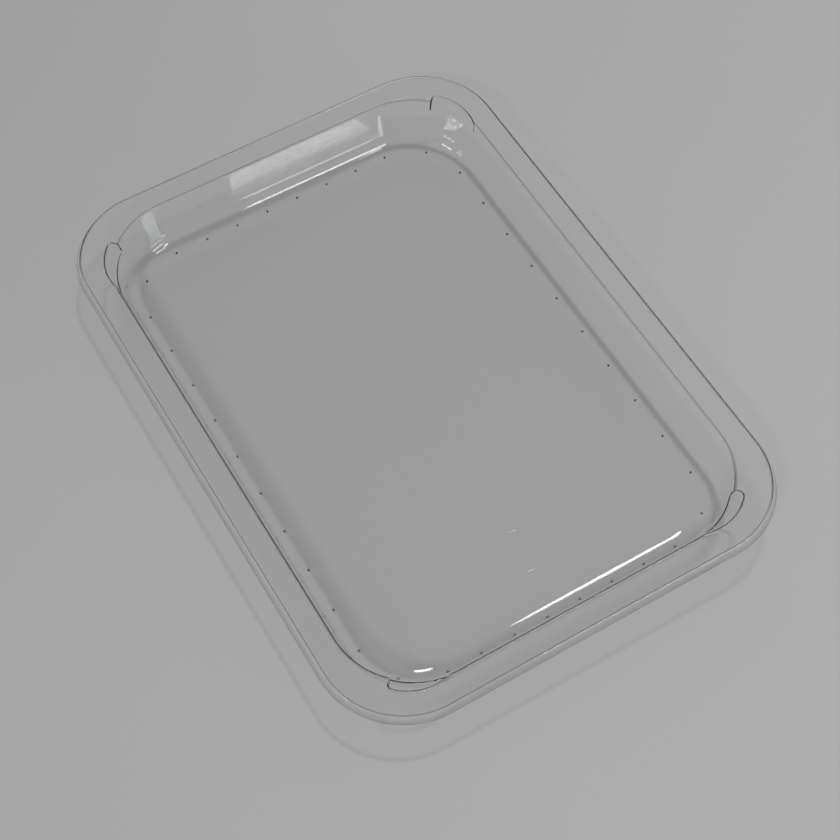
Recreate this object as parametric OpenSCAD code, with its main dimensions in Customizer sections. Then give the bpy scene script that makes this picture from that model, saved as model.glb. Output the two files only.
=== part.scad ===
// Shallow food tray drawn from one clear sheet: a basin with a flat sealing flange round it.
// Origin: centre of the underside that the tray rests on. X runs along the tray, Y across it, Z up.

/* [Flange] */
// Length of the tray over the bend at the flange's outer edge
bend_length = 183; // [160:1:220]
// Width of the tray over the same bend
bend_width = 131.8; // [112:0.2:160]
// Corner radius of that bend in plan
bend_corner_radius = 23; // [18:0.5:26]
// Width of the flat flange along each side
flange_width = 7; // [5.5:0.1:10]
// Height by which the outer lip turns down below the flange
lip_drop = 2.2; // [1.4:0.1:4]
// Distance by which the outer lip stands out past the bend
lip_reach = 1.35; // [0.4:0.05:2]
// Radius of the bend between flange and lip, on the upper face
lip_bend_radius = 0.9; // [0.6:0.1:1.2]

/* [Basin] */
// Depth of the basin, from the flange's upper face to the floor's upper face
basin_depth = 17.2; // [14:0.2:20]
// Lean of the walls from upright
wall_draft = 16; // [12:0.5:20]
// Corner radius of the mouth in plan
mouth_corner_radius = 23; // [20:0.5:26]
// Radius of the edge between flange and wall, on the upper face
mouth_edge_radius = 0.9; // [0.6:0.1:1.2]
// Radius of the hollow between wall and floor, on the upper face
floor_radius = 10; // [8:0.25:11]
// Thickness of the sheet
sheet = 0.4; // [0.3:0.05:0.5]

/* [Stacking pockets] */
// Depth of the pocket's shelf below the flange
pocket_depth = 2.8; // [2:0.1:4]
// Distance by which a pocket reaches out past the mouth
pocket_reach = 2.7; // [2:0.1:3.4]
// Radius of the pocket's curved side in plan
pocket_radius = 15; // [14:0.5:16]
// Turn from the corner's diagonal to the pocket's widest place
pocket_turn = 6; // [3:1:9]
// Radius of the pocket's blunt end in plan
pocket_end_radius = 1.1; // [0.6:0.1:1.5]

/* [Vent nibs] */
// Nibs along each long side
long_side_nibs = 10; // [6:1:14]
// Nibs along each short side
short_side_nibs = 8; // [4:1:10]
// Distance of a row's last nib from the end of the straight side
nib_row_margin = 0.5; // [0.2:0.1:3]
// Place of the nibs on the hollow, as an angle below level
nib_angle = 56; // [45:1:65]
// Diameter of a nib
nib_diameter = 0.9; // [0.6:0.1:1.2]
// Height of a nib below the sheet
nib_height = 0.3; // [0.2:0.05:0.5]

/* [Floor stamp] */
// Diameter of the plain ring stamped in the underside
stamp_diameter = 13.6; // [8:0.2:18]
// Width of the ring's groove
stamp_line = 0.9; // [0.6:0.1:1.5]
// Depth of the ring's groove
stamp_depth = 0.12; // [0.08:0.02:0.2]
// Distance of the ring from the middle of the tray
stamp_x = 57.5; // [0:0.5:58]

/* [Hidden] */

plan_steps = 72;
hollow_steps = 12;
edge_steps = 4;
pocket_end_steps = 32;
nib_steps = 16;

// levels
flange_top = basin_depth + sheet;
shelf_top = flange_top - pocket_depth;
clearance = 1;
// flat stretch that the flange shares with the bent sheet on either side of it
lap = 0.6;

// plan sizes: half extents of the bend and of the mouth, and the centres of their corners
bend_half_x = bend_length / 2;
bend_half_y = bend_width / 2;
bend_centre_x = bend_half_x - bend_corner_radius;
bend_centre_y = bend_half_y - bend_corner_radius;
mouth_half_x = bend_half_x - flange_width;
mouth_half_y = bend_half_y - flange_width;
mouth_centre_x = mouth_half_x - mouth_corner_radius;
mouth_centre_y = mouth_half_y - mouth_corner_radius;

// half section of the basin, measured out from a mouth corner's centre.
// Flange and wall would meet in a sharp edge at the mouth, wall and floor at the foot.
// Each edge is rounded, and its round ends at the same distance along both faces.
wall_turn = 90 - wall_draft;
mouth_trim = mouth_edge_radius * tan(wall_turn / 2);
floor_trim = floor_radius * tan(wall_turn / 2);
foot_r = mouth_corner_radius - basin_depth * tan(wall_draft);
mouth_round = [mouth_corner_radius + mouth_trim, flange_top - mouth_edge_radius];
floor_round = [foot_r - floor_trim, sheet + floor_radius];

// half section of the lip, measured out from a bend corner's centre
lip_lean = atan2(lip_reach, lip_drop);
lip_trim = lip_bend_radius * tan((90 - lip_lean) / 2);
lip_round = [bend_corner_radius - lip_trim, flange_top - lip_bend_radius];
out_from_lip = [cos(lip_lean), sin(lip_lean)];
lip_end = [bend_corner_radius + lip_reach, flange_top - lip_drop];

// pocket in plan, with the corner's diagonal along X
pocket_centre_r = mouth_corner_radius + pocket_reach - pocket_radius;
pocket_centre = pocket_centre_r * [cos(pocket_turn), sin(pocket_turn)];
pocket_inner_r = floor_round[0] + floor_radius * cos(wall_draft);

// vent nibs
long_row = 2 * mouth_centre_x - 2 * nib_row_margin;
short_row = 2 * mouth_centre_y - 2 * nib_row_margin;
nib_root = floor_round + (floor_radius + sheet / 2) * [cos(nib_angle), -sin(nib_angle)];
nib_length = nib_height + sheet / 2;

// rectangle with rounded corners
module rounded_plan(half_x, half_y, radius)
{
    square([2 * half_x, 2 * (half_y - radius)], center = true);
    square([2 * (half_x - radius), 2 * half_y], center = true);
    for (x = [radius - half_x, half_x - radius])
        for (y = [radius - half_y, half_y - radius])
            translate([x, y])
                circle(radius, $fn = plan_steps);
}

// points along an arc, both ends included
function arc(centre, radius, from, to, steps) = [
    for (k = [0 : steps])
        let (angle = from + (to - from) * k / steps)
            centre + radius * [cos(angle), sin(angle)]
];

// section of floor, hollow, wall, mouth edge and a lap of flange
module basin_section()
{
    lap_end = mouth_round[0] + lap;
    polygon(concat(
        [[0, sheet]],
        arc(floor_round, floor_radius, -90, -wall_draft, hollow_steps),
        arc(mouth_round, mouth_edge_radius, 180 - wall_draft, 90, edge_steps),
        [[lap_end, flange_top], [lap_end, basin_depth]],
        arc(mouth_round, mouth_edge_radius - sheet, 90, 180 - wall_draft, edge_steps),
        arc(floor_round, floor_radius + sheet, -wall_draft, -90, hollow_steps),
        [[0, 0]]
    ));
}

// section of a lap of flange, the outer bend and the lip
module lip_section()
{
    lap_start = lip_round[0] - lap;
    polygon(concat(
        [[lap_start, flange_top]],
        arc(lip_round, lip_bend_radius, 90, lip_lean, edge_steps),
        [lip_end, lip_end - sheet * out_from_lip],
        arc(lip_round, lip_bend_radius - sheet, lip_lean, 90, edge_steps),
        [[lap_start, basin_depth]]
    ));
}

// carries a section round the four corners, centred at centre_x and centre_y, and along the sides
module swept_round(centre_x, centre_y)
{
    for (x_flip = [0, 1])
        mirror([x_flip, 0, 0])
        {
            for (y_flip = [0, 1])
                mirror([0, y_flip, 0])
                    translate([centre_x, centre_y, 0])
                        rotate_extrude(angle = 90, $fn = plan_steps)
                            children();
            translate([centre_x, 0, 0])
                rotate([90, 0, 0])
                    linear_extrude(2 * centre_y, center = true)
                        children();
        }
    for (y_flip = [0, 1])
        mirror([0, y_flip, 0])
            translate([0, centre_y, 0])
                rotate([90, 0, 90])
                    linear_extrude(2 * centre_x, center = true)
                        children();
}

// flat flange between the mouth's edge and the outer bend
module flange()
{
    inner_r = mouth_round[0] + lap / 2;
    outer_r = lip_round[0] - lap / 2;
    translate([0, 0, basin_depth])
        linear_extrude(sheet)
            difference()
            {
                rounded_plan(bend_centre_x + outer_r, bend_centre_y + outer_r, outer_r);
                rounded_plan(mouth_centre_x + inner_r, mouth_centre_y + inner_r, inner_r);
            }
}

// floor between the straight sides
module floor_middle()
{
    translate([-mouth_centre_x, -mouth_centre_y, 0])
        cube([2 * mouth_centre_x, 2 * mouth_centre_y, sheet]);
}

// pocket's outline, grown by a margin, with a blunt end on the diagonal and a tapered end
module pocket_plan(margin)
{
    radius = pocket_radius + margin;
    end_radius = pocket_end_radius + margin;
    // the blunt end's round touches the diagonal's edge and the curved side from within
    end_y = pocket_end_radius;
    end_x = pocket_centre[0] + sqrt(pow(radius - end_radius, 2) - pow(end_y - pocket_centre[1], 2));
    intersection()
    {
        translate(pocket_centre)
            circle(radius, $fn = 2 * plan_steps);
        union()
        {
            translate([0, end_y])
                square(mouth_corner_radius + radius);
            translate([0, -margin])
                square([end_x, end_radius]);
            translate([end_x, end_y])
                circle(end_radius, $fn = pocket_end_steps);
        }
    }
}

// puts a pocket's shape at each corner, tapering to the nearest long or short side:
// towards the long side at the -X end and towards the short side at the +X end
module at_pockets()
{
    for (y_flip = [0, 1])
        mirror([0, y_flip, 0])
        {
            translate([mouth_centre_x, mouth_centre_y, 0])
                rotate([0, 0, 45])
                    mirror([0, 1, 0])
                        children();
            mirror([1, 0, 0])
                translate([mouth_centre_x, mouth_centre_y, 0])
                    rotate([0, 0, 45])
                        children();
        }
}

// shelf and outer wall of a pocket, cut off inside the thickness of the basin's wall
module pocket_shell()
{
    height = pocket_depth + sheet / 2;
    middle_r = mouth_corner_radius + sheet / 2 / cos(wall_draft);
    difference()
    {
        translate([0, 0, shelf_top - sheet])
            linear_extrude(height)
                pocket_plan(sheet);
        translate([0, 0, shelf_top - sheet - clearance])
            cylinder(
                h = height + 2 * clearance,
                r1 = middle_r - (pocket_depth + sheet + clearance) * tan(wall_draft),
                r2 = middle_r + (height + clearance - pocket_depth - sheet) * tan(wall_draft),
                $fn = 2 * plan_steps
            );
    }
}

// room inside a pocket
module pocket_room()
{
    translate([0, 0, shelf_top])
        linear_extrude(pocket_depth + clearance)
            difference()
            {
                pocket_plan(0);
                circle(pocket_inner_r, $fn = plan_steps);
            }
}

// one nib, standing out from under the hollow
module nib()
{
    translate([nib_root[0], 0, nib_root[1]])
        rotate([0, 90 + nib_angle, 0])
            cylinder(h = nib_length, d = nib_diameter, $fn = nib_steps);
}

// rows of nibs along the sides and one nib in the middle of each corner
module nibs()
{
    for (x_flip = [0, 1])
        mirror([x_flip, 0, 0])
        {
            for (y_flip = [0, 1])
                mirror([0, y_flip, 0])
                    translate([mouth_centre_x, mouth_centre_y, 0])
                        rotate([0, 0, 45])
                            nib();
            for (k = [0 : short_side_nibs - 1])
                translate([mouth_centre_x, short_row * (k / (short_side_nibs - 1) - 0.5), 0])
                    nib();
        }
    for (y_flip = [0, 1])
        mirror([0, y_flip, 0])
            for (k = [0 : long_side_nibs - 1])
                translate([long_row * (k / (long_side_nibs - 1) - 0.5), mouth_centre_y, 0])
                    rotate([0, 0, 90])
                        nib();
}

// groove of the plain ring in the underside
module stamp()
{
    translate([stamp_x, 0, -clearance])
        linear_extrude(clearance + stamp_depth)
            difference()
            {
                circle(d = stamp_diameter, $fn = plan_steps);
                circle(d = stamp_diameter - 2 * stamp_line, $fn = plan_steps);
            }
}

module tray()
{
    color([0.86, 0.89, 0.9, 0.35])
        difference()
        {
            union()
            {
                floor_middle();
                swept_round(mouth_centre_x, mouth_centre_y)
                    basin_section();
                flange();
                swept_round(bend_centre_x, bend_centre_y)
                    lip_section();
                at_pockets()
                    pocket_shell();
                nibs();
            }
            at_pockets()
                pocket_room();
            stamp();
        }
}

tray();
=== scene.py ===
"""Shallow clear food tray: a thin drawn sheet on a pale floor, seen from above at one corner."""
import math

import bpy
import bmesh
import numpy as np
from mathutils import Matrix, Vector


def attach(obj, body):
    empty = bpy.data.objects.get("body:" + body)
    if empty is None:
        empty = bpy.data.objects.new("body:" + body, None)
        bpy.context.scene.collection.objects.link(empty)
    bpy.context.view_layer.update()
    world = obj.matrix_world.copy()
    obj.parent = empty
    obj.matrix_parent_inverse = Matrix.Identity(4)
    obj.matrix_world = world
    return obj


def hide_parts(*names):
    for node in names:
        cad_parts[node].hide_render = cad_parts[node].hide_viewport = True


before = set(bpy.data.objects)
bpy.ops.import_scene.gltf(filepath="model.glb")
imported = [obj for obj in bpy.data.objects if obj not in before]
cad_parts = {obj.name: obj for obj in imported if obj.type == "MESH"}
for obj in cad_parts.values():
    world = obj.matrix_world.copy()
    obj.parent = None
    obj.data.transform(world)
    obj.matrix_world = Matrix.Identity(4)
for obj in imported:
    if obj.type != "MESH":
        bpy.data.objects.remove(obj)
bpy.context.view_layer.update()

MM = 0.001

# driving sizes of the sheet, in millimetres, as in the part's source
SHEET = 0.4
DEPTH = 17.2
TOP = DEPTH + SHEET
DRAFT = math.radians(16)
FLOOR_RADIUS = 10.0
EDGE_RADIUS = 0.9
CORNER = 23.0
BEND_HALF = np.array([91.5, 65.9])
FLANGE = 7.0
MOUTH_CENTRE = BEND_HALF - FLANGE - CORNER
BEND_CENTRE = BEND_HALF - CORNER
LIP_REACH = 1.35
LIP_DROP = 2.2
LIP_RADIUS = 0.9

# stacking pockets, with the lean of their outer wall and the radii of its edge and of the shelf's two bends
POCKET_DEPTH = 2.8
POCKET_REACH = 2.7
POCKET_RADIUS = 15.0
POCKET_TURN = math.radians(6)
POCKET_END = 1.1
POCKET_DRAFT = math.radians(7)
POCKET_EDGE = 0.55
SHELF_EDGE = 0.6
SHELF_HOLLOW = 0.4

# radius at which the basin's line ends on the flange, least radius of a bend and least cut of a corner
FLANGE_R = CORNER + 4.2
LEAST_BEND = 0.12
LEAST_TRIM = 0.1

# a pocket fades into the wall where its shelf is narrower than this, over this much height to either side
FADE_WIDTH = 0.8
FADE_HEIGHT = 0.4
# radius of the outline that stands in where there is no pocket, well inside the wall
NO_POCKET = CORNER - 2.0

# vent nibs: the radius of a nib's round swelling, and its height on the lower and on the upper face
LONG_NIBS = 10
SHORT_NIBS = 8
NIB_MARGIN = 0.5
NIB_ANGLE = math.radians(56)
NIB_SPREAD = 0.52
NIB_OUT = 0.3
NIB_IN = 0.22
# power that makes the swelling rounder at its foot, and how steeply its painted shade rises from there
NIB_POWER = 1.2
NIB_SHADE = 1.6

# rows and columns of the mesh across a nib, as distances from its middle
NIB_OFFSETS = [-0.62, -0.5, -0.36, -0.2, 0.0, 0.2, 0.36, 0.5, 0.62]
# least distance of other rows from those, as a share of the hollow's arc
NIB_ROW_GAP = 0.022
# about the distance of a corner's nib from that corner's centre, in plan
CORNER_NIB_R = 16.4
# columns at a pocket's blunt end, as distances along the mouth from the corner's diagonal
END_RUNS = [
    -0.9, -0.55, -0.4, -0.3, -0.2, -0.12, -0.06, -0.02, 0.005, 0.03, 0.07,
    0.13, 0.2, 0.3, 0.42, 0.56, 0.75, 0.95, 1.15, 1.35, 1.55,
]
# smallest step between two columns of a corner, in degrees, and room left at the ends of a side's columns
COLUMN_STEP = 0.045
SIDE_ROOM = 0.05

# steps of the bends: the floor's hollow, the shelf's bends, the mouth's edge and the lip's bend
HOLLOW_STEPS = 22
SHELF_STEPS = 4
EDGE_STEPS = 6
LIP_STEPS = 7

# distances of guard rows, which keep the smooth normals of the flat faces flat, from the ends of the bends
FLOOR_GUARD = 0.5
FLANGE_GUARD = 0.4
WALL_GUARD = 0.15
CUT_GUARD = 0.12
HOLLOW_GUARD_SHARE = 0.03

# painted shade of the mouth's edge and of the lip's bend, as a share of a nib's
BEND_SHADE = 0.6
LIP_SHADE = 0.6
# step of the mouth's edge with the darkest painted shade, and how many steps on the painted shade ends
EDGE_DARKEST = 3.5
EDGE_FADE = 1.6

# edges sharper than this aren't smoothed
SHARP_ANGLE = math.radians(40)

# ring stamped in the underside: a shallow groove between flat guard rings
STAMP_X = 57.5
STAMP_OUTER = 6.8
STAMP_INNER = 5.9
STAMP_DEPTH = 0.12
STAMP_GUARD = 0.4
STAMP_SIDES = 72

# room: the light that it gives, its look mirrored in the sheet low down and overhead, and the backdrop
ROOM_LIGHT = 0.24
ROOM_LOW = (0.33, 0.33, 0.335)
ROOM_HIGH = (0.30, 0.305, 0.31)
BACKDROP = (0.37, 0.37, 0.37)


def pocket_outline(a, grow):
    """Distance from a mouth corner's centre to its pocket's outline, grown by a margin.

    The direction is a radians from the corner's diagonal, towards the pocket's taper.
    """
    blunt = -grow / CORNER
    centre_r = CORNER + POCKET_REACH - POCKET_RADIUS
    across = centre_r * math.sin(a - POCKET_TURN)
    reach = (POCKET_RADIUS + grow) ** 2 - across ** 2
    curved = centre_r * math.cos(a - POCKET_TURN) + math.sqrt(max(reach, 0.0))
    end = POCKET_END + grow
    run = (a - blunt) * CORNER
    if run <= 0:
        return NO_POCKET
    if run < end:
        rounding = end - math.sqrt(max(end ** 2 - (end - run) ** 2, 0.0))
        curved -= rounding
    return curved


def shares_of(count):
    """Even shares of an arc from its start to its end."""
    return [k / count for k in range(count + 1)]


def fillet(points, radii, shares, rooms=None):
    """Rounds the inner points of an open line with true arcs, each drawn at its own shares of its turn.

    rooms gives, for each point, how much of the line before and after it the arc may take up.
    """
    points = [np.array(p, float) for p in points]
    rooms = rooms or [(0.49, 0.49)] * len(radii)
    out = [points[0]]
    for i in range(1, len(points) - 1):
        before, here, after = points[i - 1], points[i], points[i + 1]
        back, on = before - here, after - here
        back_room, on_room = rooms[i - 1]
        room = min(back_room * np.linalg.norm(back), on_room * np.linalg.norm(on))
        back, on = back / np.linalg.norm(back), on / np.linalg.norm(on)
        half_turn = (math.pi - math.acos(max(-1.0, min(1.0, float(back @ on))))) / 2
        trim = min(max(radii[i - 1] * math.tan(half_turn), LEAST_TRIM), room)
        start, stop = here + trim * back, here + trim * on
        weight = math.cos(half_turn)
        for share in shares[i - 1]:
            t = share
            if half_turn > 0.001:
                t = 0.5 + 0.5 * math.tan(half_turn * (share - 0.5)) / math.tan(half_turn / 2)
            f0, f1, f2 = (1 - t) ** 2, 2 * weight * t * (1 - t), t ** 2
            out.append((f0 * start + f1 * here + f2 * stop) / (f0 + f1 + f2))
    out.append(points[-1])
    return out


def hollow_shares():
    """Shares of the hollow's arc: even steps, with finer ones across the row of vent nibs."""
    turn = math.pi / 2 - DRAFT
    nibs = [(math.pi / 2 - NIB_ANGLE + o / FLOOR_RADIUS) / turn for o in NIB_OFFSETS]
    found = []
    for share in shares_of(HOLLOW_STEPS):
        if all(abs(share - n) > NIB_ROW_GAP for n in nibs):
            found.append(share)
    return sorted(found + nibs)


def wall_r(z, lower):
    """Radius of the leaning wall at a height, on its upper or lower face."""
    return CORNER - (TOP - z) * math.tan(DRAFT) + lower * SHEET / math.cos(DRAFT)


def basin_line(a, lower):
    """Line of the sheet's upper or lower face, from the floor out to the flange.

    a is the direction as in pocket_outline, or None where there is no pocket.
    """
    floor_z, shelf_z, top_z = (z - lower * SHEET for z in (SHEET, TOP - POCKET_DEPTH, TOP))
    outline = NO_POCKET if a is None else pocket_outline(a, lower * SHEET)

    def pocket_r(z):
        return outline - (TOP - z) * math.tan(POCKET_DRAFT)

    shelf = max(pocket_r(shelf_z) - wall_r(shelf_z, lower), 0.0)
    share = min(shelf / FADE_WIDTH, 1.0)
    share = share * share * (3 - 2 * share)
    high_z = shelf_z + FADE_HEIGHT * (1 - share)
    low_z = shelf_z - FADE_HEIGHT * (1 - share)
    foot = (wall_r(floor_z, lower), floor_z)
    low = (wall_r(low_z, lower), low_z)
    high = (max(pocket_r(high_z), wall_r(high_z, lower)), high_z)
    edge = (max(pocket_r(top_z), wall_r(top_z, lower)), top_z)
    flat = (FLANGE_R, top_z)
    rim = EDGE_RADIUS + (POCKET_EDGE - EDGE_RADIUS) * share
    radii = [
        FLOOR_RADIUS + lower * SHEET,
        SHELF_EDGE - lower * SHEET,
        SHELF_HOLLOW + lower * SHEET,
        max(rim - lower * SHEET, LEAST_BEND),
    ]
    corners = [(0.0, floor_z), foot, low, high, edge, flat]
    shares = [hollow_shares(), shares_of(SHELF_STEPS), shares_of(SHELF_STEPS), shares_of(EDGE_STEPS)]
    # the floor's hollow takes up most of the floor's line and of the wall, and the other bends what is left
    rooms = [(0.9, 0.9), (0.09, 0.49), (0.49, 0.49), (0.49, 0.49)]
    line = fillet(corners, radii, shares, rooms)
    rest = line[1:-1]
    inner_guard = np.array([rest[0][0] - FLOOR_GUARD, floor_z])
    outer_guard = np.array([min(rest[-1][0] + FLANGE_GUARD, flat[0]), top_z])
    # one guard row just below the mouth's edge, and one just above the hollow
    bend = rest[-EDGE_STEPS - 1]
    below = rest[-EDGE_STEPS - 2]
    under_bend = bend + (below - bend) * min(WALL_GUARD / np.linalg.norm(below - bend), 0.5)
    rest.insert(len(rest) - EDGE_STEPS - 1, under_bend)
    arc_end = len(shares[0])
    over_hollow = rest[arc_end - 1] + HOLLOW_GUARD_SHARE * (rest[arc_end] - rest[arc_end - 1])
    rest.insert(arc_end, over_hollow)
    return [inner_guard] + rest + [outer_guard]


def lip_line(lower):
    """Line of the sheet's face from the flange over the outer bend to the cut edge."""
    lean = math.atan2(LIP_REACH, LIP_DROP)
    away = np.array([math.cos(lean), math.sin(lean)])
    end = np.array([CORNER + LIP_REACH, TOP - LIP_DROP]) - lower * SHEET * away
    top_z = TOP - lower * SHEET
    bend = np.array([end[0] - (top_z - end[1]) * math.tan(lean), top_z])
    flat = bend - np.array([2.0, 0.0])
    line = fillet([flat, bend, end], [LIP_RADIUS - lower * SHEET], [shares_of(LIP_STEPS)])
    guard = np.array([line[1][0] - FLANGE_GUARD, top_z])
    near_end = line[-1] + CUT_GUARD * (line[-2] - line[-1]) / np.linalg.norm(line[-2] - line[-1])
    return [guard] + line[1:-1] + [near_end, line[-1]]


def stations():
    """Columns of the mesh round the tray, in order.

    Each is its kind, corner or side, the signs of X and Y there, its angle or its place along the side,
    and for a side whether it is a long one.
    """
    columns = []

    def corner_angles(toward_y):
        # even steps, then finer ones across the pocket's blunt end, across the nib and along the taper
        sign = 1 if toward_y else -1
        angles = set(round(x, 3) for x in np.linspace(0, 90, 37))
        angles |= set(round(45 + sign * math.degrees(r / CORNER), 3) for r in END_RUNS)
        angles |= set(round(45 + math.degrees(r / CORNER_NIB_R), 3) for r in NIB_OFFSETS)
        angles |= set(round(45 + sign * x, 3) for x in np.linspace(5, 42, 26))
        kept = []
        for x in sorted(angles):
            if not kept or x - kept[-1] > COLUMN_STEP:
                kept.append(x)
        # the last column is the end of the quarter turn
        kept[-1] = 90.0
        return kept

    def side_runs(half, count):
        row = 2 * half - 2 * NIB_MARGIN
        runs = [-half]
        for k in range(count):
            at = row * (k / (count - 1) - 0.5)
            runs += [at + o for o in NIB_OFFSETS if -half + SIDE_ROOM < at + o < half - SIDE_ROOM]
        runs.append(half)
        return runs[1:-1]

    # going round from the +X side through +Y, -X and -Y
    for quarter in range(4):
        sx, sy = [(1, 1), (-1, 1), (-1, -1), (1, -1)][quarter]
        angles = corner_angles(sx < 0)
        # angles rise against the direction of travel in the mirrored quarters
        if quarter in (1, 3):
            angles.reverse()
        columns += [("corner", sx, sy, x, None) for x in angles]
        along_x = quarter in (0, 2)
        half = MOUTH_CENTRE[0] if along_x else MOUTH_CENTRE[1]
        runs = side_runs(half, LONG_NIBS if along_x else SHORT_NIBS)
        for run in runs:
            columns.append(("side", sx, sy, run, along_x))
    return columns


def nib_push(distance, height):
    """Height of a nib's round swelling at a distance from its middle."""
    share = np.clip(1 - (distance / NIB_SPREAD) ** 2, 0, None)
    return height * share ** NIB_POWER


def place(column, line, lip):
    """Points of one column in millimetres, from the floor's edge to the cut edge."""
    kind, sx, sy, value, along_x = column
    if kind == "corner":
        angle = math.radians(value)
        way = np.array([sx * math.cos(angle), sy * math.sin(angle)])
        mouth = MOUTH_CENTRE * (sx, sy)
        bend = BEND_CENTRE * (sx, sy)
    elif along_x:
        # a long side, on the side of +Y or -Y
        way = np.array([0.0, sy])
        run = value if sy < 0 else -value
        mouth = np.array([run, sy * MOUTH_CENTRE[1]])
        bend = np.array([run * BEND_CENTRE[0] / MOUTH_CENTRE[0], sy * BEND_CENTRE[1]])
    else:
        # a short side, on the side of -X or +X
        way = np.array([sx, 0.0])
        run = value if sx > 0 else -value
        mouth = np.array([sx * MOUTH_CENTRE[0], run])
        bend = np.array([sx * BEND_CENTRE[0], run * BEND_CENTRE[1] / MOUTH_CENTRE[1]])
    inner = [np.array([*(mouth + p[0] * way), p[1]]) for p in line]
    outer = [np.array([*(bend + p[0] * way), p[1]]) for p in lip]
    return inner + outer


def nib_centres(lower):
    """Middle of each vent nib on the upper or lower face, with the way it stands out."""
    radius = FLOOR_RADIUS + lower * SHEET
    foot_r = wall_r(SHEET - lower * SHEET, lower)
    turn = math.pi / 2 - DRAFT
    centre_r = foot_r - radius * math.tan(turn / 2)
    centre_z = SHEET + FLOOR_RADIUS
    at_r = centre_r + radius * math.cos(NIB_ANGLE)
    at_z = centre_z - radius * math.sin(NIB_ANGLE)
    found = []

    def add(mouth, way):
        middle = np.array([*(mouth + at_r * way), at_z])
        out = np.array([*(math.cos(NIB_ANGLE) * way), -math.sin(NIB_ANGLE)])
        found.append((middle, out))

    for sx in (-1, 1):
        for sy in (-1, 1):
            add(MOUTH_CENTRE * (sx, sy), np.array([sx, sy]) / math.sqrt(2))
        row = 2 * MOUTH_CENTRE[1] - 2 * NIB_MARGIN
        for k in range(SHORT_NIBS):
            run = row * (k / (SHORT_NIBS - 1) - 0.5)
            add(np.array([sx * MOUTH_CENTRE[0], run]), np.array([sx, 0.0]))
    for sy in (-1, 1):
        row = 2 * MOUTH_CENTRE[0] - 2 * NIB_MARGIN
        for k in range(LONG_NIBS):
            run = row * (k / (LONG_NIBS - 1) - 0.5)
            add(np.array([run, sy * MOUTH_CENTRE[1]]), np.array([0.0, sy]))
    return found


def face_grid(columns, lower):
    """Grid of points of one face of the sheet, columns by rows, with each point's painted shade and rub."""
    grid = []
    lip = lip_line(lower)
    plain = basin_line(None, lower)
    for column in columns:
        kind, sx, _, value, _ = column
        line = plain
        if kind == "corner":
            a = math.radians(45 - value) if sx > 0 else math.radians(value - 45)
            line = basin_line(a, lower)
        grid.append(place(column, line, lip))
    grid = np.array(grid)
    shade = np.zeros(grid.shape[:2])
    rub = np.zeros(grid.shape[:2])
    height = NIB_OUT if lower else NIB_IN
    for middle, out in nib_centres(lower):
        distance = np.linalg.norm(grid - middle, axis=2)
        grid += nib_push(distance, height)[..., None] * out
        # painted shade, full over the nib's middle and none at its edge
        shade = np.maximum(shade, np.clip(NIB_SHADE - NIB_SHADE * distance / NIB_SPREAD, 0, 1))
    # rows of the mouth's bend, of which the middle ones get the darkest painted shade and all but the first
    # are rubbed
    last = len(plain) - 2
    for k in range(EDGE_STEPS + 1):
        row = last - EDGE_STEPS + k
        shade[:, row] = BEND_SHADE * max(0.0, 1 - abs(k - EDGE_DARKEST) / EDGE_FADE)
        rub[:, row] = 1.0 if k > 0 else 0.3
    # the lip's bend is rubbed where it starts and gets painted shade just after, and its cut edge gets a
    # little painted shade
    lip_start = len(plain) + 1
    rub[:, lip_start:lip_start + 3] = 1.0
    shade[:, lip_start + 2:lip_start + 4] = LIP_SHADE
    shade[:, -2:] = LIP_SHADE / 2
    return grid, shade, rub


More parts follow.
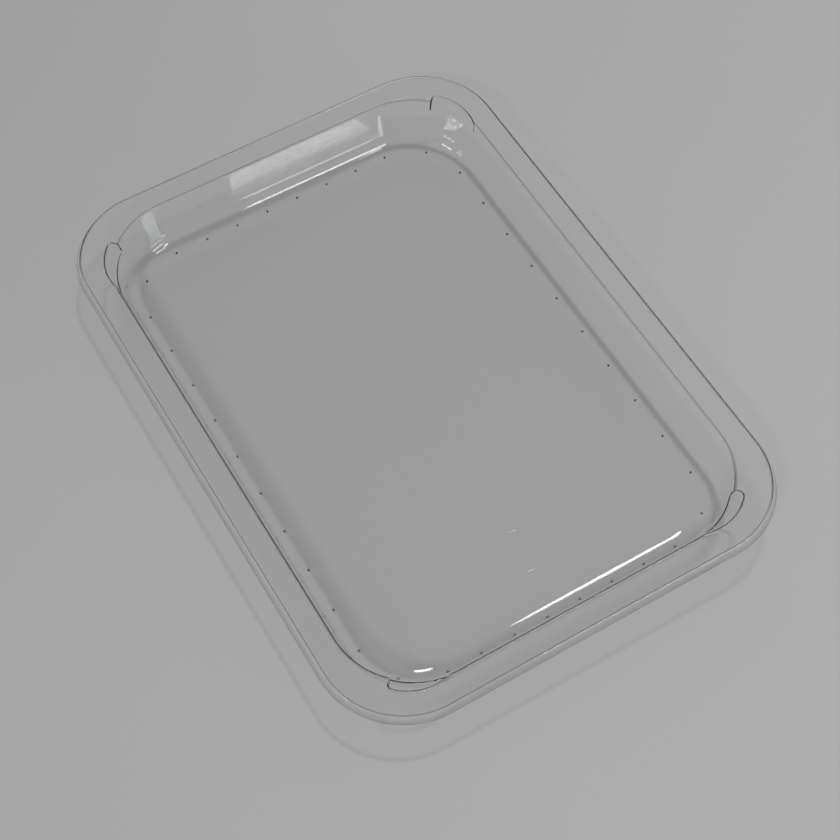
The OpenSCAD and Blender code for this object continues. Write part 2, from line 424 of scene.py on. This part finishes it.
def build_sheet():
    """The whole tray as one closed mesh, with its painted shade and rub as point attributes."""
    columns = stations()
    upper, upper_shade, upper_rub = face_grid(columns, 0)
    lower, lower_shade, lower_rub = face_grid(columns, 1)
    count, rows = upper.shape[:2]
    bm = bmesh.new()
    up = [[bm.verts.new(p * MM) for p in column] for column in upper]
    down = [[bm.verts.new(p * MM) for p in column] for column in lower]
    for i in range(count):
        j = (i + 1) % count
        for k in range(rows - 1):
            bm.faces.new((up[i][k], up[i][k + 1], up[j][k + 1], up[j][k]))
            bm.faces.new((down[i][k], down[j][k], down[j][k + 1], down[i][k + 1]))
        bm.faces.new((up[i][-1], down[i][-1], down[j][-1], up[j][-1]))
    bm.faces.new([column[0] for column in up])

    def ring(radius, z):
        """Points of a level ring about the stamp's middle."""
        return [
            bm.verts.new(((STAMP_X + radius * math.cos(t)) * MM, radius * math.sin(t) * MM, z * MM))
            for t in np.linspace(0, 2 * math.pi, STAMP_SIDES, endpoint=False)
        ]

    # underside of the floor, with the ring's groove
    middle_r = (STAMP_OUTER + STAMP_INNER) / 2
    around, outer = ring(STAMP_OUTER + STAMP_GUARD, 0), ring(STAMP_OUTER, 0)
    middle = ring(middle_r, STAMP_DEPTH)
    inner, within = ring(STAMP_INNER, 0), ring(STAMP_INNER - STAMP_GUARD, 0)
    for first, second in ((around, outer), (outer, middle), (middle, inner), (inner, within)):
        for k in range(STAMP_SIDES):
            m = (k + 1) % STAMP_SIDES
            bm.faces.new((first[k], first[m], second[m], second[k]))
    bm.faces.new(within[::-1])
    bm.edges.ensure_lookup_table()
    loops = []
    for line in ([column[0] for column in down], around):
        for k in range(len(line)):
            edge = bm.edges.get((line[k], line[(k + 1) % len(line)]))
            loops.append(edge)
    bmesh.ops.triangle_fill(bm, use_beauty=True, use_dissolve=False, edges=loops)
    bmesh.ops.recalc_face_normals(bm, faces=bm.faces)
    mesh = bpy.data.meshes.new("tray_sheet")
    bm.to_mesh(mesh)
    bm.free()
    # shade is painted shade for the nibs and bends; rub dulls the bends
    for name, parts in (("shade", (upper_shade, lower_shade)), ("rub", (upper_rub, lower_rub))):
        marks = mesh.attributes.new(name, "FLOAT", "POINT")
        values = np.zeros(len(mesh.vertices), dtype=np.float32)
        values[:2 * count * rows] = np.concatenate([part.ravel() for part in parts])
        marks.data.foreach_set("value", values)
    mesh.polygons.foreach_set("use_smooth", [True] * len(mesh.polygons))
    mesh.set_sharp_from_angle(angle=SHARP_ANGLE)
    tray = bpy.data.objects.new("tray_sheet", mesh)
    bpy.context.scene.collection.objects.link(tray)
    return tray


def clear_plastic():
    """Clear PET sheet: glossy, almost colourless, with faint haze and waviness.

    It is duller where rub is high, and darker where the shade attribute puts painted shade, at the nibs and
    bends.
    """
    mat = bpy.data.materials.new("clear_pet")
    mat.use_nodes = True
    nodes, links = mat.node_tree.nodes, mat.node_tree.links
    nodes.clear()
    out = nodes.new("ShaderNodeOutputMaterial")
    shader = nodes.new("ShaderNodeBsdfPrincipled")
    shader.inputs["IOR"].default_value = 1.57
    shader.inputs["Transmission Weight"].default_value = 1.0
    shader.inputs["Metallic"].default_value = 0.0
    coords = nodes.new("ShaderNodeTexCoord")
    clouds = nodes.new("ShaderNodeTexNoise")
    clouds.inputs["Scale"].default_value = 22.0
    clouds.inputs["Detail"].default_value = 3.0
    links.new(coords.outputs["Object"], clouds.inputs["Vector"])
    haze = nodes.new("ShaderNodeMapRange")
    haze.inputs["From Min"].default_value = 0.35
    haze.inputs["From Max"].default_value = 0.75
    haze.inputs["To Min"].default_value = 0.015
    haze.inputs["To Max"].default_value = 0.035
    links.new(clouds.outputs["Fac"], haze.inputs["Value"])
    rubbed = nodes.new("ShaderNodeAttribute")
    rubbed.attribute_name = "rub"
    dull = nodes.new("ShaderNodeMath")
    dull.operation = "MULTIPLY_ADD"
    dull.inputs[1].default_value = 0.25
    links.new(rubbed.outputs["Fac"], dull.inputs[0])
    links.new(haze.outputs["Result"], dull.inputs[2])
    links.new(dull.outputs["Value"], shader.inputs["Roughness"])
    tint = nodes.new("ShaderNodeMix")
    tint.data_type = "RGBA"
    tint.inputs["A"].default_value = (0.992, 0.992, 0.992, 1)
    tint.inputs["B"].default_value = (0.978, 0.979, 0.979, 1)
    links.new(clouds.outputs["Fac"], tint.inputs["Factor"])
    # painted shade: the shade attribute turns the base colour dark grey at the nibs, the mouth's edge and
    # the lip
    painted_shade_attr = nodes.new("ShaderNodeAttribute")
    painted_shade_attr.attribute_name = "shade"
    bends = nodes.new("ShaderNodeMix")
    bends.data_type = "RGBA"
    bends.inputs["B"].default_value = (0.10, 0.10, 0.10, 1)
    links.new(painted_shade_attr.outputs["Fac"], bends.inputs["Factor"])
    links.new(tint.outputs["Result"], bends.inputs["A"])
    links.new(bends.outputs["Result"], shader.inputs["Base Color"])
    waves = nodes.new("ShaderNodeTexNoise")
    waves.inputs["Scale"].default_value = 60.0
    waves.inputs["Detail"].default_value = 2.0
    links.new(coords.outputs["Object"], waves.inputs["Vector"])
    bump = nodes.new("ShaderNodeBump")
    bump.inputs["Strength"].default_value = 0.02
    bump.inputs["Distance"].default_value = 0.0003
    links.new(waves.outputs["Fac"], bump.inputs["Height"])
    links.new(bump.outputs["Normal"], shader.inputs["Normal"])
    # lamps and the even room light shine through the sheet, dimmed most where it stands edge on to them
    path = nodes.new("ShaderNodeLightPath")
    open_way = nodes.new("ShaderNodeBsdfTransparent")
    slant = nodes.new("ShaderNodeLayerWeight")
    slant.inputs["Blend"].default_value = 0.5
    steep = nodes.new("ShaderNodeMath")
    steep.operation = "POWER"
    steep.inputs[1].default_value = 4.0
    links.new(slant.outputs["Facing"], steep.inputs[0])
    dim = nodes.new("ShaderNodeMix")
    dim.data_type = "RGBA"
    dim.inputs["A"].default_value = (0.945, 0.945, 0.945, 1)
    dim.inputs["B"].default_value = (0.12, 0.12, 0.12, 1)
    links.new(steep.outputs["Value"], dim.inputs["Factor"])
    links.new(dim.outputs["Result"], open_way.inputs["Color"])
    lamp_way = nodes.new("ShaderNodeMixShader")
    links.new(path.outputs["Is Shadow Ray"], lamp_way.inputs["Fac"])
    links.new(shader.outputs["BSDF"], lamp_way.inputs[1])
    links.new(open_way.outputs["BSDF"], lamp_way.inputs[2])
    room_way = nodes.new("ShaderNodeMixShader")
    links.new(path.outputs["Is Diffuse Ray"], room_way.inputs["Fac"])
    links.new(lamp_way.outputs["Shader"], room_way.inputs[1])
    links.new(open_way.outputs["BSDF"], room_way.inputs[2])
    links.new(room_way.outputs["Shader"], out.inputs["Surface"])
    return mat


def floor_material():
    """Matt pale grey card, faintly and softly mottled, with painted light that makes it a little lighter
    towards +X and +Y.
    """
    mat = bpy.data.materials.new("floor_card")
    mat.use_nodes = True
    nodes, links = mat.node_tree.nodes, mat.node_tree.links
    shader = nodes["Principled BSDF"]
    shader.inputs["Roughness"].default_value = 0.9
    shader.inputs["Specular IOR Level"].default_value = 0.1
    coords = nodes.new("ShaderNodeTexCoord")
    noise = nodes.new("ShaderNodeTexNoise")
    noise.inputs["Scale"].default_value = 6.0
    noise.inputs["Detail"].default_value = 2.0
    links.new(coords.outputs["Object"], noise.inputs["Vector"])
    # painted light: a little lighter towards +X and +Y
    parts = nodes.new("ShaderNodeSeparateXYZ")
    links.new(coords.outputs["Object"], parts.inputs["Vector"])
    along = nodes.new("ShaderNodeMath")
    along.operation = "ADD"
    links.new(parts.outputs["X"], along.inputs[0])
    links.new(parts.outputs["Y"], along.inputs[1])
    share = nodes.new("ShaderNodeMapRange")
    share.inputs["From Min"].default_value = -0.22
    share.inputs["From Max"].default_value = 0.22
    links.new(along.outputs["Value"], share.inputs["Value"])
    # random mottle added onto the painted light of the gradient
    mottle_and_painted_light = nodes.new("ShaderNodeMath")
    mottle_and_painted_light.operation = "MULTIPLY_ADD"
    mottle_and_painted_light.inputs[1].default_value = 0.3
    links.new(noise.outputs["Fac"], mottle_and_painted_light.inputs[0])
    links.new(share.outputs["Result"], mottle_and_painted_light.inputs[2])
    tone = nodes.new("ShaderNodeMix")
    tone.data_type = "RGBA"
    tone.inputs["A"].default_value = (0.352, 0.350, 0.349, 1)
    tone.inputs["B"].default_value = (0.420, 0.418, 0.417, 1)
    links.new(mottle_and_painted_light.outputs["Value"], tone.inputs["Factor"])
    links.new(tone.outputs["Result"], shader.inputs["Base Color"])
    return mat


def build_floor():
    """Plain floor just under the tray."""
    mesh = bpy.data.meshes.new("floor")
    half, z = 3.0, -0.0001
    corners = [(-half, -half, z), (half, -half, z), (half, half, z), (-half, half, z)]
    mesh.from_pydata(corners, [], [(0, 1, 2, 3)])
    floor = bpy.data.objects.new("floor", mesh)
    floor.data.materials.append(floor_material())
    bpy.context.scene.collection.objects.link(floor)


def build_camera():
    """Camera at the photograph's angle: its place and turn come from the fit to the rim and the vent nibs.

    The fit is in lengths of the tray over the flange's bend, from the middle of the flange's upper face.
    Its focal length is in pixels of a picture that is 840 pixels wide.
    """
    length = 0.183
    sensor = 36.0
    picture = 840.0
    focal = 1852.15
    turn = np.array([2.29423, 1.30832, -0.37578])
    shift = np.array([-0.01056, -0.08682, 2.77273]) * length
    angle = float(np.linalg.norm(turn))
    view = np.array(Matrix.Rotation(angle, 3, Vector(turn / angle)))
    eye = -view.T @ shift + np.array([0, 0, TOP * MM])
    data = bpy.data.cameras.new("camera")
    data.sensor_width = sensor
    data.lens = focal * sensor / picture
    data.clip_start, data.clip_end = 0.02, 20.0
    camera = bpy.data.objects.new("camera", data)
    axes = np.array([view[0], -view[1], -view[2]]).T
    camera.matrix_world = Matrix.Translation(Vector(eye)) @ Matrix(axes.tolist()).to_4x4()
    bpy.context.scene.collection.objects.link(camera)
    bpy.context.scene.camera = camera


def lamp(name, place, size, power, shape="RECTANGLE", facing=None):
    """Area lamp at a place in metres, with its width and height and its power in watts.

    It shines at the tray, or against the direction in facing where that is given.
    """
    data = bpy.data.lights.new(name, "AREA")
    data.shape = shape
    data.size, data.size_y = size
    data.energy = power
    made = bpy.data.objects.new(name, data)
    made.location = place
    made.rotation_mode = "QUATERNION"
    made.rotation_quaternion = Vector(facing or place).to_track_quat("Z", "Y")
    bpy.context.scene.collection.objects.link(made)
    return made


def window(name, place, size, radiance, shape="RECTANGLE", facing=None, color=(1, 1, 1)):
    """Bright pane that the sheet mirrors as a highlight; radiance 1 is white."""
    area = size[0] * size[1]
    if shape == "ELLIPSE":
        area *= math.pi / 4
    made = lamp(name, place, size, radiance * math.pi * area, shape, facing)
    made.data.color = color
    return made


def soft_lamp(name, direction, distance, width, level):
    """Round lamp that lights the floor at a level, 1 being white, and isn't mirrored in the sheet."""
    away = Vector(direction).normalized()
    power = level * math.pi ** 2 * distance ** 2 / away.z
    made = lamp(name, away * distance, (width, width), power, "ELLIPSE")
    made.visible_glossy = False
    made.visible_transmission = False
    return made


def build_world():
    """Even room light, with a plain backdrop for the camera.

    Mirrored in the sheet, the room is dim, and a little lighter low down than overhead.
    """
    world = bpy.data.worlds.new("room")
    bpy.context.scene.world = world
    world.use_nodes = True
    nodes, links = world.node_tree.nodes, world.node_tree.links
    even = nodes["Background"]
    even.inputs["Color"].default_value = (0.985, 0.99, 1.0, 1)
    even.inputs["Strength"].default_value = ROOM_LIGHT
    coords = nodes.new("ShaderNodeTexCoord")
    parts = nodes.new("ShaderNodeSeparateXYZ")
    links.new(coords.outputs["Generated"], parts.inputs["Vector"])
    rise = nodes.new("ShaderNodeValToRGB")
    rise.color_ramp.elements[0].position = 0.0
    rise.color_ramp.elements[0].color = (*ROOM_LOW, 1)
    rise.color_ramp.elements[1].position = 0.85
    rise.color_ramp.elements[1].color = (*ROOM_HIGH, 1)
    links.new(parts.outputs["Z"], rise.inputs["Fac"])
    mirrored = nodes.new("ShaderNodeBackground")
    links.new(rise.outputs["Color"], mirrored.inputs["Color"])
    plain = nodes.new("ShaderNodeBackground")
    plain.inputs["Color"].default_value = (*BACKDROP, 1)
    path = nodes.new("ShaderNodeLightPath")
    first = nodes.new("ShaderNodeMixShader")
    links.new(path.outputs["Is Glossy Ray"], first.inputs["Fac"])
    links.new(even.outputs["Background"], first.inputs[1])
    links.new(mirrored.outputs["Background"], first.inputs[2])
    second = nodes.new("ShaderNodeMixShader")
    links.new(path.outputs["Is Camera Ray"], second.inputs["Fac"])
    links.new(first.outputs["Shader"], second.inputs[1])
    links.new(plain.outputs["Background"], second.inputs[2])
    links.new(second.outputs["Shader"], nodes["World Output"].inputs["Surface"])


def build_lights():
    """A small lamp overhead and a wider one aslant, with windows round the room."""
    soft_lamp("ceiling_lamp", (-0.09, 0.18, 1.0), 2.0, 0.14, 0.44)
    soft_lamp("side_lamp", (0.60, -0.71, 1.0), 2.0, 0.30, 0.26)
    window("end_window", (1.6, 0.505, 0.537), (0.20, 0.187), 5.5, facing=(1, 0, 0))
    pale_blue = (0.8, 0.97, 0.93)
    window("blue_window", (1.6, 0.925, 0.765), (0.65, 0.23), 3.5, facing=(1, 0, 0), color=pale_blue)
    window("far_window", (-1.13, 0.52, 1.00), (0.24, 0.25), 8.0, "ELLIPSE")
    window("side_window", (0.08, -1.52, 0.41), (0.46, 0.16), 4.0)
    window("corner_window", (1.37, 0.79, 0.232), (0.53, 0.07), 6.0)


bpy.context.scene.view_settings.view_transform = "Standard"
build_camera()
build_world()
build_lights()
build_floor()
tray = build_sheet()
tray.data.materials.append(clear_plastic())
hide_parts("tray")
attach(tray, "root")
